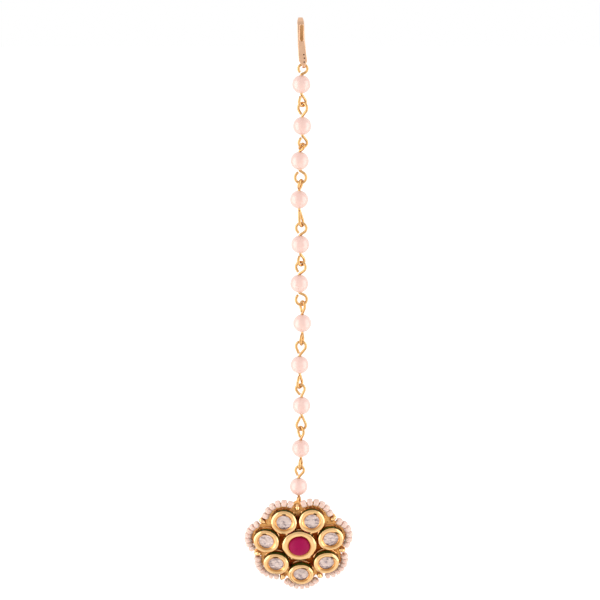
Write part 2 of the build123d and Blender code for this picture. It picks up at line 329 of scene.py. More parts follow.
dimples += bmesh.ops.inset_individual(
    strip, faces=dimples, thickness=DIMPLE_SLOPE, depth=-DIMPLE_DEPTH
)["faces"]
# the slot's walls, the dimples and the inside take the second material, its painted shade
for side in strip.faces:
    centre = side.calc_center_median()
    in_slot = abs(centre.x - SLOT_X) < SLOT_WIDTH / 2 and SLOT_FROM < centre.z < SLOT_TO
    if side in dimples or side.normal.y > 0.9 or (in_slot and abs(side.normal.y) < 0.5):
        side.material_index = 1
for row in rows:
    bmesh.ops.bisect_plane(
        strip,
        geom=[*strip.verts, *strip.edges, *strip.faces],
        plane_co=(0, 0, row),
        plane_no=(0, 0, 1),
    )
for corner in strip.verts:
    corner.co = folded(corner.co)
hook_strip = finish_piece("hook_strip", strip, rose_gold, "chain", ["hook"])
hook_strip.data.materials.append(shaded_brass)

# ---- eye pins ---------------------------------------------------------------------------------
# Eleven lengths of 0.75 mm gilt brass wire, one through each chain pearl. Round pliers bend a loop
# at both ends after it is hooked into its neighbour, so no two loops have one size or one turn.

WIRE = 0.75
PEARL = 5.0
LOOP_START = 0.15  # the wire starts to bend this far outside the pearl
LOOP_END_GAP = 0.62  # and its nipped end stops this far short of closing
ELBOW = 0.35  # radius of the bend where a loop leaves the pearl
BURR = 0.1  # how far the nipped end is rubbed round
WIRE_SIDES = 14
WIRE_STEP = radians(12)  # a bend has a ring of corners this often
WELD = 0.001  # corners nearer than this are one
HOOK_LINK = 1.0  # across, where the first loop hangs in the hook's eye
# one row for each pin from the hook down: width and turn of its two loops, and where it ends
PIN_COLUMNS = ("upper_width", "upper_turn", "lower_width", "lower_turn", "link_x")
PIN_ROWS = [
    (2.4, 0, 2.1, 30, 0.70),
    (2.8, -34, 2.3, 16, 0.80),
    (1.8, -54, 3.0, 0, 0.25),
    (2.4, 70, 2.3, 66, 0.45),
    (2.8, -5, 2.4, 46, 0.40),
    (2.8, -22, 3.0, 8, 0.70),
    (2.5, -62, 2.4, 73, 0.35),
    (2.7, -3, 2.4, 58, -0.15),
    (2.4, -8, 2.6, 8, 0.20),
    (2.6, -56, 2.4, 74, 0.00),
    (2.3, 0, 2.1, 74, -0.45),
]


def drawn_out(bm, ring):
    """Grows a new ring of edges from an open one, in the same place, and gives its corners too."""
    grown = bmesh.ops.extrude_edge_only(bm, edges=ring)["geom"]
    corners = [part for part in grown if isinstance(part, bmesh.types.BMVert)]
    edges = [part for part in grown if isinstance(part, bmesh.types.BMEdge)]
    return [edge for edge in edges if set(corners).issuperset(edge.verts)], corners


class BentWire:
    """Round wire worked from one end: a ring of edges is drawn out straight or spun round."""

    def __init__(self, bm, start, heading, thick, sides=WIRE_SIDES):
        self.bm, self.at, self.heading = bm, Vector(start), Vector(heading).normalized()
        facing = self.heading.to_track_quat("Z", "Y").to_matrix().to_4x4()
        corners = bmesh.ops.create_circle(
            bm, segments=sides, radius=thick / 2, matrix=Matrix.Translation(self.at) @ facing
        )["verts"]
        self.ring = list(dict.fromkeys(edge for corner in corners for edge in corner.link_edges))

    def run(self, length):
        """Draws the wire out straight."""
        self.ring, corners = drawn_out(self.bm, self.ring)
        bmesh.ops.translate(self.bm, verts=corners, vec=self.heading * length)
        self.at += self.heading * length

    def curl(self, normal, radius, angle):
        """Bends the wire round a radius, in the plane across normal."""
        centre = self.at + normal.cross(self.heading) * radius
        corners = list(dict.fromkeys(corner for edge in self.ring for corner in edge.verts))
        spun = bmesh.ops.spin(
            self.bm,
            geom=corners + self.ring,
            cent=centre,
            axis=normal,
            angle=angle,
            steps=ceil(angle / WIRE_STEP),
        )["geom_last"]
        self.ring = [part for part in spun if isinstance(part, bmesh.types.BMEdge)]
        turned = Matrix.Rotation(angle, 3, normal)
        self.at = centre + turned @ (self.at - centre)
        self.heading = turned @ self.heading

    def turn_to(self, heading, radius):
        """Bends the wire until it points along heading."""
        normal = self.heading.cross(heading).normalized()
        self.curl(normal, radius, self.heading.angle(heading))

    def nip(self, softened):
        """Closes the wire's end, with the burr rubbed off."""
        cut = bmesh.ops.holes_fill(self.bm, edges=self.ring)["faces"]
        bmesh.ops.bevel(
            self.bm,
            geom=[edge for face in cut for edge in face.edges],
            offset=softened,
            affect="EDGES",
            segments=2,
            profile=0.5,
            material=-1,
        )


def bend_loop(wire, apex, tip, width, turn):
    """Bends the wire into a drop-shaped loop, from apex round by tip and back."""
    reach = tip - apex
    side = Vector((cos(radians(turn)), sin(radians(turn)), 0))
    normal = side.cross(reach).normalized()
    radius = width / 2
    middle = reach.length - radius
    spread = asin(radius / middle)
    first_side = Matrix.Rotation(-spread, 3, normal) @ reach.normalized()
    straight = middle * cos(spread)
    cut_short = ELBOW * tan(wire.heading.angle(first_side) / 2)
    wire.run((apex - wire.at).length - cut_short)
    wire.turn_to(first_side, ELBOW)
    wire.run(straight - cut_short)
    wire.curl(normal, radius, pi + 2 * spread)
    wire.run(straight - LOOP_END_GAP)
    wire.nip(BURR)


# drawn wire is smooth, so it has bright lines along it that the pliers' small dents break
wire_gold = plated("gilt brass wire", "#EBC18A", "#C48E4E", 0.14, 0.26, grain=0.5, depth=0.008)

link_x = HOOK_LINK
for number, row in enumerate(PIN_ROWS, start=1):
    pin = dict(zip(PIN_COLUMNS, row))
    pin_low, pin_high = (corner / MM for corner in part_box(f"eye_pin_{number}"))
    pearl_low, pearl_high = (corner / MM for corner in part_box(f"pearl_{number}"))
    middle = (pearl_low + pearl_high) / 2
    eye_pin = bmesh.new()
    for way, tip_x, tip_z, loop in (
        (1, link_x, pin_high.z - WIRE / 2, "upper"),
        (-1, pin["link_x"], pin_low.z + WIRE / 2, "lower"),
    ):
        wire = BentWire(eye_pin, middle, (0, 0, way), WIRE)
        apex = middle + Vector((0, 0, way * (PEARL / 2 + LOOP_START)))
        tip = Vector((tip_x, 0, tip_z))
        bend_loop(wire, apex, tip, pin[loop + "_width"], pin[loop + "_turn"])
    bmesh.ops.remove_doubles(eye_pin, verts=eye_pin.verts, dist=WELD)
    finish_piece(
        f"eye_pin_wire_{number}", eye_pin, wire_gold, "chain", [f"eye_pin_{number}"]
    )
    link_x = pin["link_x"]

# ---- chain pearls -----------------------------------------------------------------------------
# Moulded beads 5 mm across, with a countersunk bore, dipped in pearl lacquer: a warm pinkish
# white under a clear skin, which shows each lamp as a soft bright patch.

BORE = 0.85
FLARE, FLARE_DEEP = 1.25, 0.12  # the countersink's width at the skin, and its depth


def spin_round(bm, sides):
    """Takes everything drawn so far once round the upright axis."""
    bmesh.ops.spin(
        bm,
        geom=[*bm.verts, *bm.edges],
        cent=(0, 0, 0),
        axis=(0, 0, 1),
        angle=2 * pi,
        steps=sides,
        use_merge=True,
    )
    bmesh.ops.remove_doubles(bm, verts=bm.verts, dist=WELD)


def bead(radius, bore, flare, deep, rings, sides):
    """A drilled ball: a meridian spun from one hole to the other, then all the way round."""
    bm = bmesh.new()
    start = asin(flare / 2 / radius)
    lip = bm.verts.new((radius * sin(start), 0, radius * cos(start)))
    spun = bmesh.ops.spin(
        bm, geom=[lip], cent=(0, 0, 0), axis=(0, 1, 0), angle=pi - 2 * start, steps=rings
    )["geom_last"]
    far_lip = next(part for part in spun if isinstance(part, bmesh.types.BMVert))
    for end, way in ((lip, 1), (far_lip, -1)):
        throat = bm.verts.new((bore / 2, 0, way * (radius * cos(start) - deep)))
        inside = bm.verts.new((bore / 2, 0, 0))
        bm.edges.new((end, throat))
        bm.edges.new((throat, inside))
    spin_round(bm, sides)
    return bm


# a soft glow from the lacquer's body, and over it a stronger, brighter reflection from its skin
pearl_lacquer, tree, shader, place = new_material(
    "pearl lacquer on moulded bead",
    Roughness=0.38,
    Coat_Weight=1.0,
    Coat_IOR=1.7,
    Coat_Roughness=0.16,
)
two_tones(tree, shader, place, "#F5D2C7", "#EEC1B5", size=3.5, detail=2.0)
dented(tree, shader, place, size=0.6, depth=0.002, detail=2.0)

for number in range(1, len(PIN_ROWS) + 1):
    pearl_low, pearl_high = (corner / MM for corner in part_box(f"pearl_{number}"))
    finish_piece(
        f"chain_pearl_{number}",
        bead(PEARL / 2, BORE, FLARE, FLARE_DEEP, rings=22, sides=40),
        pearl_lacquer,
        "chain",
        [f"pearl_{number}"],
        Matrix.Translation((pearl_low + pearl_high) / 2),
    )

# ---- drop: back plate -------------------------------------------------------------------------
# A gilt sheet of brass 0.8 mm thick, sawn to seven lobes and domed a little, with everything else
# of the drop soldered to it. It shows as a bright border outside the cups, and as hollows between
# them whose brown is painted shade.

DROP_TILT = radians(15.05)  # how far the hanging drop's face leans down
DROP_ROLL = radians(2.8)
RING_UP, RING_BACK, RING_LEFT = 12.0, 3.4, 0.15  # the ring's bar, from the middle of the face
LOBES = 7
DOME_RADIUS = 70.0
PLATE_THICK = 0.8
PLATE_SOFTENED = 0.14
LOBE_CIRCLES = (8.85, 9.30, 8.60, 9.20, 9.25, 9.05, 8.85)  # the lobes' middles, given one by one
LOBE_PLATE = 4.62  # radius of the plate round a lobe's middle
LOBE_ARC = radians(77)  # half of the arc of plate that shows round a lobe
LOBE_CORNERS = 28
PLATE_RINGS = (0.96, 0.88, 0.76, 0.62, 0.46, 0.3, 0.14)  # shares of the outline, edge to middle
# the brown of the hollows is painted shade, darkest near other parts and fading out to the border
CREVICE = 1.6  # the hollows are darkest where something else stands this near
HOLLOWS_END, BORDER_STARTS = 8.6, 10.6  # from the middle of the face
SPATTER = 0.9  # about how far apart the flecks are

hinge = Vector(frame["joints"][0]["pos_m"]) / MM
hung = Matrix.Translation(hinge) @ Matrix.Rotation(pi / 2 + DROP_TILT, 4, "X")
from_ring = Matrix.Translation((RING_LEFT, -RING_UP, RING_BACK))
face = hung @ from_ring @ Matrix.Rotation(DROP_ROLL, 4, "Z")
lobe_step = 2 * pi / LOBES
junctions = [pi / 2 + k * lobe_step for k in range(LOBES)]
lobes = [angle + lobe_step / 2 for angle in junctions]


def dome_drop(radius):
    """How far the domed face has fallen at this radius."""
    return DOME_RADIUS - sqrt(DOME_RADIUS**2 - radius**2)


def seat(radius, angle, lift=0.0):
    """A place on the dome: x outwards from the middle, z out of the face."""
    return (
        face
        @ Matrix.Rotation(angle, 4, "Z")
        @ Matrix.Translation((radius, 0, -dome_drop(radius)))
        @ Matrix.Rotation(asin(radius / DOME_RADIUS), 4, "Y")
        @ Matrix.Translation((0, 0, lift))
    )


def finish_metal(name, bm, material, place):
    """Finishes a piece of the drop's soldered metal."""
    return finish_piece(name, bm, material, "pendant", ["pendant_frame"], place)


# sheet keeps a grain from the rolls, so it is matter than the cups, with soft broad lights
plate_gold = plated("gilt brass sheet", "#FFD694", "#FFBA62", 0.5, 0.7, grain=0.5, depth=0.03)
tree = plate_gold.node_tree
shader = tree.nodes["Principled BSDF"]
own = put(tree, "TexCoord", {})
facing = put(
    tree,
    "VectorMath",
    {0: own.outputs["Normal"], 1: face.to_3x3() @ Vector((0, 0, 1))},
    operation="DOT_PRODUCT",
)
elsewhere = put(
    tree, "MapRange", {"Value": facing.outputs["Value"], "From Min": 0.6, "From Max": 0.2}
)
# the border is bright, with a few flecks of spatter from the soldering on the front alone
spatter = put(
    tree, "TexNoise", {"Vector": own.outputs["Object"], "Scale": 1 / (SPATTER * MM), "Detail": 4.0}
)
fleck = put(
    tree, "MapRange", {"Value": spatter.outputs[0], "From Min": 0.34, "From Max": 0.4}
)
clean = put(tree, "Math", {0: fleck.outputs[0], 1: elsewhere.outputs[0]}, operation="MAXIMUM")
plating = shader.inputs["Base Color"].links[0].from_socket
bright = put(
    tree,
    "Mix",
    {0: clean.outputs[0], 6: colour("#CE8430"), 7: plating},
    data_type="RGBA",
)
# painted shade: the hollows of the front are brown, and darkest in their corners
crevice = put(tree, "AmbientOcclusion", {"Distance": CREVICE * MM}, samples=6)
open_share = put(
    tree, "MapRange", {"Value": crevice.outputs["AO"], "From Min": 0.6, "From Max": 1.0}
)
painted_shade = put(
    tree,
    "Mix",
    {0: open_share.outputs[0], 6: colour("#862A06"), 7: colour("#D87E32")},
    data_type="RGBA",
)
off_middle = put(
    tree,
    "VectorMath",
    {0: own.outputs["Object"], 1: face.translation * MM},
    operation="DISTANCE",
)
border = put(
    tree,
    "MapRange",
    {
        "Value": off_middle.outputs["Value"],
        "From Min": HOLLOWS_END * MM,
        "From Max": BORDER_STARTS * MM,
    },
    interpolation_type="SMOOTHSTEP",
)
# the border and every side that doesn't face the front are left out of the painted shade
polished = put(tree, "Math", {0: border.outputs[0], 1: elsewhere.outputs[0]}, operation="MAXIMUM")
tone = put(
    tree,
    "Mix",
    {0: polished.outputs[0], 6: painted_shade.outputs[2], 7: bright.outputs[2]},
    data_type="RGBA",
)
tree.links.new(tone.outputs[2], shader.inputs["Base Color"])

plate = bmesh.new()
outline = []
for lobe, circle in zip(lobes, LOBE_CIRCLES):
    centre = Vector((circle * cos(lobe), circle * sin(lobe), 0))
    for k in range(LOBE_CORNERS):
        angle = lobe - LOBE_ARC + 2 * LOBE_ARC * k / (LOBE_CORNERS - 1)
        outline.append(centre + Vector((LOBE_PLATE * cos(angle), LOBE_PLATE * sin(angle), 0)))
ring = closed_loop(plate, outline)
scale = 1.0
for ring_scale in PLATE_RINGS:
    ring, corners = drawn_out(plate, ring)
    bmesh.ops.scale(plate, verts=corners, vec=Vector((1, 1, 1)) * ring_scale / scale)
    scale = ring_scale
bmesh.ops.holes_fill(plate, edges=ring)
for corner in plate.verts:
    corner.co.z = -dome_drop(corner.co.xy.length)
bmesh.ops.recalc_face_normals(plate, faces=plate.faces)
bmesh.ops.solidify(plate, geom=plate.faces[:], thickness=PLATE_THICK)
soften(plate, PLATE_SOFTENED)
finish_metal("back_plate", plate, plate_gold, face)

# ---- drop: cups -------------------------------------------------------------------------------
# Each stone's cup is turned from brass, soldered to the plate with a thin line of solder round
# its foot, and burnished over the stone, which leaves a broad polished rim with a soft crest and
# a steeper lip against the stone.

# outer radius, crest radius, opening radius, crest height
OUTER_CUP = (3.6, 3.12, 2.14, 2.4)
MIDDLE_CUP = (4.85, 4.2, 3.0, 1.5)
RIM_DROP = 0.45  # the rim's outer shoulder is this far under its crest
RIM_EDGE = 0.14  # upright edge of the rim, over the shoulder
CREST_OUT, CREST_IN = 0.05, 0.22  # the flat of the crest, either side of the crest's radius
CREST_WORN = 0.02  # the polish has taken this off its height
LIP_WIDE, LIP_HIGH = 0.45, 0.31  # the lip that the burnisher pressed onto the stone
LIP_EDGE, LIP_LOW = 0.14, 0.04
MIDDLE_LIP_UP = 0.15  # the middle cup's rim slopes in less, because its stone stands higher
UNDERCUT = 0.25  # the groove under the lip, which grips the stone's girdle
LIP = 0.12  # how thick the lip is over the groove
POCKET_DEPTH = 0.75  # of the hollow, under the shoulder
COLLAR, COLLAR_HIGH = 0.12, 0.22  # the solder round the cup's foot
CUP_SIDES = 96
CUP_SOFTENED = 0.1


def spun_profile(points, sides):
    """Turns a line of (radius, height) points into a round piece."""
    bm = bmesh.new()
    corners = [bm.verts.new((radius, 0, height)) for radius, height in points]
    for pair in zip(corners, corners[1:]):
        bm.edges.new(pair)
    spin_round(bm, sides)
    return bm


def cup(outer, crest, opening, top, lip_up=0.0):
    """A cup with its rim burnished over: wall, solder collar, rounded rim and hollow."""
    shoulder = top - RIM_DROP
    wall = outer - COLLAR / 2
    bm = spun_profile(
        [
            (outer + COLLAR, -PLATE_THICK / 2),
            (outer + COLLAR, COLLAR_HIGH / 2),
            (wall, COLLAR_HIGH),
            (wall, shoulder - COLLAR),
            (outer, shoulder),
            (outer, shoulder + RIM_EDGE),
            (crest + CREST_OUT, top - CREST_WORN),
            (crest - CREST_IN, top - CREST_WORN),
            (opening + LIP_WIDE, shoulder + LIP_HIGH + lip_up / 3),
            (opening + LIP_EDGE, shoulder + LIP_EDGE + lip_up),
            (opening, shoulder + LIP_LOW + lip_up),
            (opening, shoulder - LIP / 2),
            (opening + UNDERCUT, shoulder - LIP),
            (opening + UNDERCUT, shoulder - POCKET_DEPTH),
            (0, shoulder - POCKET_DEPTH),
        ],
        CUP_SIDES,
    )
    soften(bm, CUP_SOFTENED, sharper_than=18, segments=3)
    # the lip takes the second material, which paints shade round the stone
    for side in bm.faces:
        centre = side.calc_center_median()
        if centre.z > shoulder - LIP and centre.xy.length < opening + LIP_WIDE:
            side.material_index = 1
    return bm


# the wheel and a thin clear lacquer give the rims a near mirror, and a little brown is painted
# against the stone and the enamel as shade
cup_gold = plated("polished gilt brass", "#FBD298", "#F0BB7C", 0.07, 0.14, grain=0.8, depth=0.008)
cup_gold.node_tree.nodes["Principled BSDF"].inputs["Coat Weight"].default_value = 0.4
shade_painted_in_corners(cup_gold, reach=0.9, closed=0.55, clear=0.97, painted_shade="#A45C1C")
# painted shade: the lip is a redder, darker gilt, a ring of shade round each stone
shaded_lip_gold = plated("gilt brass in painted shade", "#E2A66C", "#C4803E", 0.08, 0.16, grain=0.6)

for number, (lobe, circle) in enumerate(zip(lobes, LOBE_CIRCLES), start=1):
    finished = finish_metal(f"cup_{number}", cup(*OUTER_CUP), cup_gold, seat(circle, lobe))
    finished.data.materials.append(shaded_lip_gold)
finished = finish_metal("middle_cup", cup(*MIDDLE_CUP, MIDDLE_LIP_UP), cup_gold, face)
finished.data.materials.append(shaded_lip_gold)

# ---- drop: enamel bands -----------------------------------------------------------------------
# A band of dark green glass enamel on the wall of each cup, up to its rim. It was laid on as wet
# ground glass and fired, so its edges are round and its face is a little uneven.

ENAMEL_THICK = 0.05
ENAMEL_ROOT = 0.1  # its edges reach this far into the wall
ENAMEL_EDGE = 0.02  # its edges slope this much, up or down
ENAMEL_SOFTENED = 0.03
ENAMEL_FROM, ENAMEL_TO_RIM = 0.7, 0.08  # up from the cup's foot, and down from the rim
MIDDLE_ENAMEL_FROM, MIDDLE_ENAMEL_TO_RIM = 0.4, 0.15

# nearly black, with clouds of olive green in it, and a gloss that breaks over the uneven face
enamel, tree, shader, place = new_material(
    "green glass enamel", Roughness=0.2, IOR=1.52, Specular_IOR_Level=0.3
)
two_tones(tree, shader, place, "#0A0A04", "#4A5814", size=0.9, detail=3.0)
dented(tree, shader, place, size=0.5, depth=0.02, detail=1.0)


def enamel_band(outer, low, high):
    """A thin sleeve round a cup's wall, rounded at both edges like fired glass."""
    wall = outer - COLLAR / 2
    bm = spun_profile(
        [
            (wall - ENAMEL_ROOT, low),
            (wall + ENAMEL_THICK, low + ENAMEL_EDGE),
            (wall + ENAMEL_THICK, high - ENAMEL_EDGE),
            (wall - ENAMEL_ROOT, high),
        ],
        CUP_SIDES,
    )
    soften(bm, ENAMEL_SOFTENED, sharper_than=30)
    return bm


outer, crest, opening, top = OUTER_CUP
for number, (lobe, circle) in enumerate(zip(lobes, LOBE_CIRCLES), start=1):
    band = enamel_band(outer, ENAMEL_FROM, top - RIM_DROP - ENAMEL_TO_RIM)
    finish_metal(f"enamel_band_{number}", band, enamel, seat(circle, lobe))
outer, crest, opening, top = MIDDLE_CUP
band = enamel_band(outer, MIDDLE_ENAMEL_FROM, top - RIM_DROP - MIDDLE_ENAMEL_TO_RIM)
finish_metal("middle_enamel_band", band, enamel, face)

# ---- drop: granules and tabs ------------------------------------------------------------------
# Between the lobes sits a granule, a snip of brass wire melted into a ball on the plate. Outside
# it a short tab of the plate runs out, under the ends of the pearl strings.

GRANULE_CIRCLES = (11.8, 12.7, 12.2, 12.2, 12.2, 12.2, 12.5)  # the top one sits further in
GRANULE = 1.64  # across, before it ran
GRANULE_LONG = 1.3  # and it ran outwards to this many times its width
GRANULE_LIFT = 0.7  # of its middle, over the plate's face
GRANULE_LUMPS, GRANULE_WAVES = 0.16, 1.3  # how unevenly it froze, and how close the lumps are
TAB_OUTLINE = [(9.5, 1.40), (11.7, 1.35), (13.3, 0.38)]  # radius, half width
TAB_SOFTENED = 0.15

for number, (angle, circle) in enumerate(zip(junctions, GRANULE_CIRCLES), start=1):
    granule = bmesh.new()
    bmesh.ops.create_icosphere(granule, subdivisions=4, radius=GRANULE / 2)
    own_noise = Vector((number * 7.0, 0, 0))
    for corner in granule.verts:
        corner.co *= 1 + GRANULE_LUMPS * noise.noise(corner.co * GRANULE_WAVES + own_noise)
        corner.co.x *= GRANULE_LONG
    finish_metal(f"granule_{number}", granule, cup_gold, seat(circle, angle, GRANULE_LIFT))
    tab = bmesh.new()
    sides = TAB_OUTLINE + [(out, -half) for out, half in reversed(TAB_OUTLINE)]
    sheet = tab.faces.new([tab.verts.new((out, half, -dome_drop(out))) for out, half in sides])
    thickened(tab, [sheet], (0, 0, -PLATE_THICK))
    soften(tab, TAB_SOFTENED, segments=3)
    finish_metal(f"lobe_tab_{number}", tab, plate_gold, face @ Matrix.Rotation(angle, 4, "Z"))

# ---- drop: ring -------------------------------------------------------------------------------
# A staple of 0.6 mm wire soldered to the back of the plate at the top. The last eye pin's loop
# holds its bar, and the whole drop swings on it.

RING_WIRE, RING_WIDTH, RING_CORNER = 0.6, 2.4, 0.48
RING_FOOT = 1.0  # its ends meet the plate this far under its bar

foot_up = RING_UP - RING_FOOT
foot = Vector((-RING_WIDTH / 2, -RING_FOOT, RING_BACK - PLATE_THICK / 2 - dome_drop(foot_up)))
rise = Vector((-RING_WIDTH / 2, 0, 0)) - foot
staple = bmesh.new()
wire = BentWire(staple, foot, rise, RING_WIRE)
wire.run(rise.length - RING_CORNER)
wire.turn_to(Vector((1, 0, 0)), RING_CORNER)
wire.run(RING_WIDTH - 2 * RING_CORNER)
wire.turn_to(-rise, RING_CORNER)
wire.run(rise.length - RING_CORNER)
finish_metal("hanging_ring", staple, wire_gold, hung)

# ---- stones -----------------------------------------------------------------------------------
# Seven thin slices of clear glass with a few hand-cut facets, each on a crumpled silver foil that
# throws the light back through it, so they look pinkish white with grey glints.

STONE_GAP = 0.05
FACETS = 8
STONE_FOOT = 0.12  # the slice stands this far over the foil's bed
STONE_SOLE_IN = 0.1  # its underside is this much narrower than its girdle
GIRDLE_FROM, GIRDLE_UNDER, CROWN_UNDER = 0.35, 0.3, 0.22  # over the bed, and under the shoulder
# the cut rings of the crown: share of the opening, height over the shoulder, unevenness
CROWN = [(0.66, 0.0, 0.12), (0.34, 0.06, 0.16)]
CUT_DEEP, CUT_PROUD = -0.6, 0.4  # how far down or up the hand cut a corner, for its unevenness
FOIL_LINE = [(0.0, 0.02), (0.5, 0.03), (1.0, 0.05), (1.0, 0.3)]  # share of girdle, over the bed
FOIL_SIDES = 36
FOIL_THICK = 0.01

# its crumples throw broad soft glints, and pinkish grey stains drift across it
silver_foil, tree, shader, place = new_material("silver foil", Metallic=1.0, Roughness=0.42)
flow = put(tree, "Mapping", {"Vector": place, "Scale": (0.7, 1.0, 1.3)})
stain = put(tree, "TexNoise", {"Vector": flow.outputs[0], "Scale": 1 / (0.8 * MM), "Detail": 3.0})
tone = put(tree, "ValToRGB", {0: stain.outputs[0]})
ramp = tone.color_ramp.elements
ramp[0].position, ramp[0].color = 0.29, colour("#9E8A94")
ramp[1].position, ramp[1].color = 0.5, colour("#FFEEE8")
tree.links.new(tone.outputs[0], shader.inputs["Base Color"])
dented(tree, shader, place, size=1.2, depth=0.25, detail=1.0)

# the faintly warm glass bends the view of the foil a little differently in each facet
clear_glass, tree, shader, place = new_material(
    "cut clear glass",
    Roughness=0.02,
    IOR=1.52,
    Transmission_Weight=1.0,
    Base_Color=colour("#FFF9F7"),
)

outer, crest, opening, top = OUTER_CUP
shoulder = top - RIM_DROP
bed = shoulder - POCKET_DEPTH
girdle = opening + UNDERCUT - STONE_GAP
levels = [
    (girdle, bed + GIRDLE_FROM, 0.0),
    (girdle, shoulder - GIRDLE_UNDER, 0.0),
    (opening - STONE_GAP, shoulder - CROWN_UNDER, 0.0),
]
levels += [(opening * share, shoulder + height, jitter) for share, height, jitter in CROWN]
foil_line = [(girdle * share, bed + height) for share, height in FOIL_LINE]
for number, (lobe, circle) in enumerate(zip(lobes, LOBE_CIRCLES), start=1):
    draw = random.Random(number)
    nodes = [f"clear_stone_{number}"]
    stone = bmesh.new()
    bmesh.ops.create_circle(
        stone, cap_ends=True, segments=2 * FACETS, radius=girdle - STONE_SOLE_IN
    )
    bmesh.ops.translate(stone, verts=stone.verts, vec=(0, 0, bed + STONE_FOOT))
    region = stone.faces[:]
    for radius, height, jitter in levels:
        grown = bmesh.ops.extrude_face_region(stone, geom=region)["geom"]
        bmesh.ops.delete(stone, geom=region, context="FACES_ONLY")
        region = [part for part in grown if isinstance(part, bmesh.types.BMFace)]
        for corner in region[0].verts:
            angle = atan2(corner.co.y, corner.co.x)
            reach = radius * (1 + jitter * draw.uniform(-1, 1))
            corner.co = Vector((reach * cos(angle), reach * sin(angle), height))
            corner.co.z += jitter * draw.uniform(CUT_DEEP, CUT_PROUD)
    bmesh.ops.triangulate(stone, faces=stone.faces)
    finish_piece(
        f"uncut_stone_{number}",
        stone,
        clear_glass,
        "pendant",
        nodes,
        seat(circle, lobe),
        crease=3,  # every facet keeps its edge
    )
    foil = spun_profile(foil_line, FOIL_SIDES)
    bmesh.ops.solidify(foil, geom=foil.faces[:], thickness=FOIL_THICK)
    finish_piece(
        f"stone_foil_{number}",
        foil,
        silver_foil,
        "pendant",
        nodes,
        seat(circle, lobe),
    )

# ---- red stone --------------------------------------------------------------------------------
# A cabochon of raspberry red glass, domed high in the middle cup. It is almost opaque, and its
# skin is worn to a soft sheen.

RUBY_RISE = 2.2
RUBY_RINGS, RUBY_SIDES = 16, 64

# clouds of a deeper red in the glass, and one broad dim light on its worn skin
ruby_glass, tree, shader, place = new_material(
    "raspberry red glass", Roughness=0.5, Specular_IOR_Level=0.12
)
two_tones(tree, shader, place, "#AE1052", "#900A42", size=2.5, detail=2.0)

outer, crest, opening, top = MIDDLE_CUP
shoulder = top - RIM_DROP - LIP - STONE_GAP
bed = top - RIM_DROP - POCKET_DEPTH + STONE_GAP
edge = opening - STONE_GAP
domed = RUBY_RISE - MIDDLE_LIP_UP
turns = [radians(90) * k / RUBY_RINGS for k in range(RUBY_RINGS + 1)]
meridian = [(edge * sin(t), shoulder + MIDDLE_LIP_UP + domed * cos(t)) for t in turns]
girdle = opening + UNDERCUT - STONE_GAP
base = [(edge, shoulder), (girdle, shoulder - STONE_GAP), (girdle, bed), (0, bed)]
ruby = spun_profile([*meridian, *base], RUBY_SIDES)
finish_piece("ruby_cabochon", ruby, ruby_glass, "pendant", ["ruby_stone"], face)

# ---- seed pearls ------------------------------------------------------------------------------
# Small natural-shaped beads about 2 mm across, six or seven to a lobe, threaded on a fine gilt
# wire. No two are alike: lumpy, creamy pink, a little waxy. A jeweller would solder the wire's
# ends down by the granules, and here it is left off just past the last bead.

SEED_CIRCLE = 5.4  # radius of a string's wire, round its lobe's middle
SEED_LIFT = 0.6  # of the wire, over the plate's face
SEED_WIRE, SEED_WIRE_SIDES = 0.36, 10
SEED_ACROSS = 2.14
SEED_BORE, SEED_FLARE, SEED_FLARE_DEEP = 0.4, 0.75, 0.1
SEED_RINGS, SEED_SIDES = 12, 18
SEED_FAT, SEED_LONG = (0.95, 1.0), (0.93, 1.0)  # shares of full size, drawn for each bead
SEED_LUMPS, SEED_WAVES = 0.06, 1.1  # how lumpy a bead is, and how close the lumps are
SEEDS = (6, 7, 7, 7, 7, 6, 6)
SEED_REACH = radians(56)  # from the middle of a string to its last bead's far end
SEED_SQUARE = 3.6  # more than 2 makes a bead's shoulders fuller than a ball's
SEED_END_GAP = 0.06  # between two beads, and past the last

# light sinks a little into the shell, so the shade sides stay warm, and its skin is dull and waxy
# under a thin lustre
seed_shell, tree, shader, place = new_material(
    "seed pearl",
    Roughness=0.3,
    Coat_Weight=0.4,
    Coat_Roughness=0.2,
    Sheen_Weight=0.2,
    Subsurface_Weight=0.25,
    Subsurface_Radius=(0.6, 0.4, 0.3),
    Subsurface_Scale=1.0 * MM,
)
two_tones(tree, shader, place, "#F2D6C8", "#E2BCAC", size=1.6, detail=3.0)
dented(tree, shader, place, size=0.4, depth=0.02, detail=2.0)

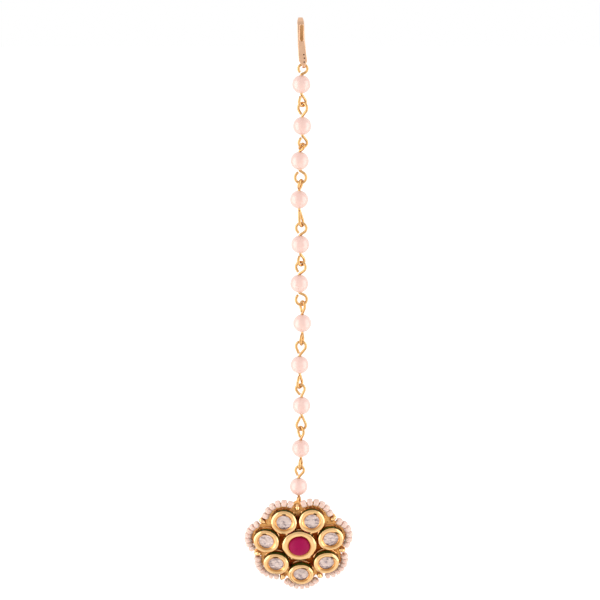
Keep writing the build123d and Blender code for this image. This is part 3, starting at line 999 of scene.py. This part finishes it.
for number, (lobe, circle, seeds) in enumerate(zip(lobes, LOBE_CIRCLES, SEEDS), start=1):
    draw = random.Random(100 + number)
    string_place = seat(circle, lobe, SEED_LIFT)
    step = 2 * SEED_REACH / seeds
    length = step * SEED_CIRCLE - SEED_END_GAP
    string = bmesh.new()
    for k in range(seeds):
        one = bead(
            SEED_ACROSS / 2, SEED_BORE, SEED_FLARE, SEED_FLARE_DEEP, SEED_RINGS, SEED_SIDES
        )
        own_noise = Vector((number * 5.0, k * 3.0, 0))
        fat = draw.uniform(*SEED_FAT)
        long = draw.uniform(*SEED_LONG) * length / SEED_ACROSS
        for corner in one.verts:
            share = abs(corner.co.z) * 2 / SEED_ACROSS
            on_skin = corner.co.length > SEED_ACROSS / 2 - WELD
            fuller = (1 - share**SEED_SQUARE) ** (1 / SEED_SQUARE) / sqrt(1 - share**2)
            lump = 1 + SEED_LUMPS * noise.noise(corner.co * SEED_WAVES + own_noise)
            wide = fat * lump * (fuller if on_skin else 1)
            corner.co = Vector((corner.co.x * wide, corner.co.y * wide, corner.co.z * long))
        angle = (k + 0.5) * step - SEED_REACH
        one.transform(
            Matrix.Rotation(angle, 4, "Z")
            @ Matrix.Translation((SEED_CIRCLE, 0, 0))
            @ Matrix.Rotation(radians(90), 4, "X")
            @ Matrix.Rotation(draw.uniform(0, 2 * pi), 4, "Z")
        )
        loose = bpy.data.meshes.new("loose")
        one.to_mesh(loose)
        one.free()
        string.from_mesh(loose)
        bpy.data.meshes.remove(loose)
    finish_piece(
        f"seed_pearls_{number}",
        string,
        seed_shell,
        "pendant",
        [f"seed_pearl_string_{number}"],
        string_place,
        crease=60,
    )
    end = SEED_REACH + SEED_END_GAP / SEED_CIRCLE
    thread = bmesh.new()
    start = Vector((cos(-end), sin(-end), 0)) * SEED_CIRCLE
    wire = BentWire(thread, start, (sin(end), cos(end), 0), SEED_WIRE, SEED_WIRE_SIDES)
    wire.curl(Vector((0, 0, 1)), SEED_CIRCLE, 2 * end)
    finish_piece(
        f"seed_wire_{number}",
        thread,
        wire_gold,
        "pendant",
        [f"seed_pearl_string_{number}"],
        string_place,
    )

# ---- floor, light and camera ------------------------------------------------------------------
# A pale floor under the hanging drop, a white tent all round with a tall soft box on each side,
# and a black card on the floor, which puts one dark mark on each polished rim. Sizes here are in
# metres.

scene = bpy.context.scene
scene.view_settings.view_transform = "Standard"

FLOOR_BELOW = 0.25
FLOOR_SIZE = 6.0
FLOOR_GLOW = 0.15  # added to what a polished surface sees of the floor
FLOOR_SHOWN = 3.6  # times that, where the camera sees it
low, high = cad_box
floor_height = low.z - FLOOR_BELOW
floor_mesh = bmesh.new()
bmesh.ops.create_grid(floor_mesh, x_segments=1, y_segments=1, size=FLOOR_SIZE)
floor_data = bpy.data.meshes.new("floor")
floor_mesh.to_mesh(floor_data)
floor_mesh.free()
floor_object = bpy.data.objects.new("floor", floor_data)
floor_object.location.z = floor_height
scene.collection.objects.link(floor_object)

floor_paint = bpy.data.materials.new("pale floor")
floor_paint.use_nodes = True
tree = floor_paint.node_tree
tree.nodes.remove(tree.nodes["Principled BSDF"])
path = put(tree, "LightPath", {})
seen = put(
    tree,
    "Mix",
    {0: path.outputs["Is Camera Ray"], 2: path.outputs["Is Glossy Ray"], 3: FLOOR_SHOWN},
    data_type="FLOAT",
)
lift = put(tree, "Math", {0: seen.outputs[0], 1: FLOOR_GLOW}, operation="MULTIPLY")
glow = put(tree, "Emission", {"Strength": lift.outputs[0]})
glow.inputs["Color"].default_value = (1, 1, 1, 1)
matt = put(tree, "BsdfDiffuse", {"Color": colour("#F6F4F0")})
both = put(tree, "AddShader", {0: matt.outputs[0], 1: glow.outputs[0]})
tree.links.new(both.outputs[0], tree.nodes["Material Output"].inputs["Surface"])
floor_data.materials.append(floor_paint)

# the black card, which only polished surfaces pick up
CARD_WIDE, CARD_X = 0.052, -0.03
CARD_FAR, CARD_NEAR = -0.13, 0.1
CARD_UP = 0.01  # over the floor
card_mesh = bmesh.new()
bmesh.ops.create_grid(card_mesh, x_segments=1, y_segments=1, size=0.5)
bmesh.ops.scale(card_mesh, verts=card_mesh.verts, vec=(CARD_WIDE, CARD_NEAR - CARD_FAR, 1))
card_data = bpy.data.meshes.new("black card")
card_mesh.to_mesh(card_data)
card_mesh.free()
black_card = bpy.data.objects.new("black_card", card_data)
black_card.location = (CARD_X, (CARD_NEAR + CARD_FAR) / 2, floor_height + CARD_UP)
scene.collection.objects.link(black_card)
black_card.visible_camera = False
black_card.visible_diffuse = False
black_card.visible_shadow = False
card_paint, tree, shader, place = new_material(
    "matt black card", Roughness=0.9, Base_Color=colour("#141210")
)
card_data.materials.append(card_paint)

# how bright the tent looks in a polished surface, by how far to the side it is: share, level
FRONT_LEVELS = [(0.0, 0.74), (0.2, 0.78), (0.5, 0.92), (1.0, 0.78)]
BACK_LEVEL = 1.0
FRONT_ENDS, BACK_STARTS = -0.3, 0.1  # how far back: -1 is straight in front, 1 straight behind
MATT_LEVEL = 0.74

world = bpy.data.worlds.new("tent")
scene.world = world
world.use_nodes = True
tree = world.node_tree
path = put(tree, "LightPath", {})
background = tree.nodes["Background"]
where = put(tree, "SeparateXYZ", {"Vector": put(tree, "TexCoord", {}).outputs["Generated"]})
off_middle = put(tree, "Math", {0: where.outputs["X"]}, operation="ABSOLUTE")
front = put(tree, "ValToRGB", {0: off_middle.outputs[0]})
stops = front.color_ramp.elements
while len(stops) < len(FRONT_LEVELS):
    stops.new(0.5)
for stop, (share, level) in zip(stops, FRONT_LEVELS):
    stop.position = share
    stop.color = (level, level, level, 1)
behind = put(
    tree,
    "MapRange",
    {"Value": where.outputs["Y"], "From Min": FRONT_ENDS, "From Max": BACK_STARTS},
)
level = put(
    tree,
    "Mix",
    {0: behind.outputs[0], 2: front.outputs[0], 3: BACK_LEVEL},
    data_type="FLOAT",
)
# matt surfaces see a dimmer, even tent, and the camera sees plain white
matt_level = put(
    tree,
    "Mix",
    {0: path.outputs["Is Diffuse Ray"], 2: level.outputs[0], 3: MATT_LEVEL},
    data_type="FLOAT",
)
shown = put(
    tree,
    "Mix",
    {0: path.outputs["Is Camera Ray"], 2: matt_level.outputs[0], 3: 1.0},
    data_type="FLOAT",
)
tree.links.new(shown.outputs[0], background.inputs["Strength"])
background.inputs["Color"].default_value = (1, 1, 1, 1)

# name, place from the object's middle, size, watts
LAMPS = [
    ("left soft box", (-0.42, -0.14, -0.06), (0.4, 0.86), 2.05),
    ("right soft box", (0.42, -0.14, -0.06), (0.4, 0.86), 1.75),
]
aim = Vector((0, 0, (low.z + high.z) / 2))
for name, spot, (wide, tall), watts in LAMPS:
    lamp = bpy.data.lights.new(name, "AREA")
    lamp.shape = "RECTANGLE"
    lamp.size, lamp.size_y = wide, tall
    lamp.energy = watts
    holder = bpy.data.objects.new(name, lamp)
    holder.location = Vector(spot) + aim
    holder.rotation_euler = Vector((-spot[0], -spot[1], 0)).to_track_quat("-Z", "Y").to_euler()
    scene.collection.objects.link(holder)

CAMERA_RISE = radians(11)
CAMERA_AWAY = 0.56
CAMERA_LENS = 120.95
CAMERA_AIM = Vector((-0.00011, 0, -0.0774))

lens = bpy.data.cameras.new("camera")
lens.lens = CAMERA_LENS
lens.clip_start = 0.01
camera = bpy.data.objects.new("camera", lens)
back = Vector((0, -cos(CAMERA_RISE), sin(CAMERA_RISE)))
camera.location = CAMERA_AIM + back * CAMERA_AWAY
camera.rotation_euler = (-back).to_track_quat("-Z", "Y").to_euler()
scene.collection.objects.link(camera)
scene.camera = camera
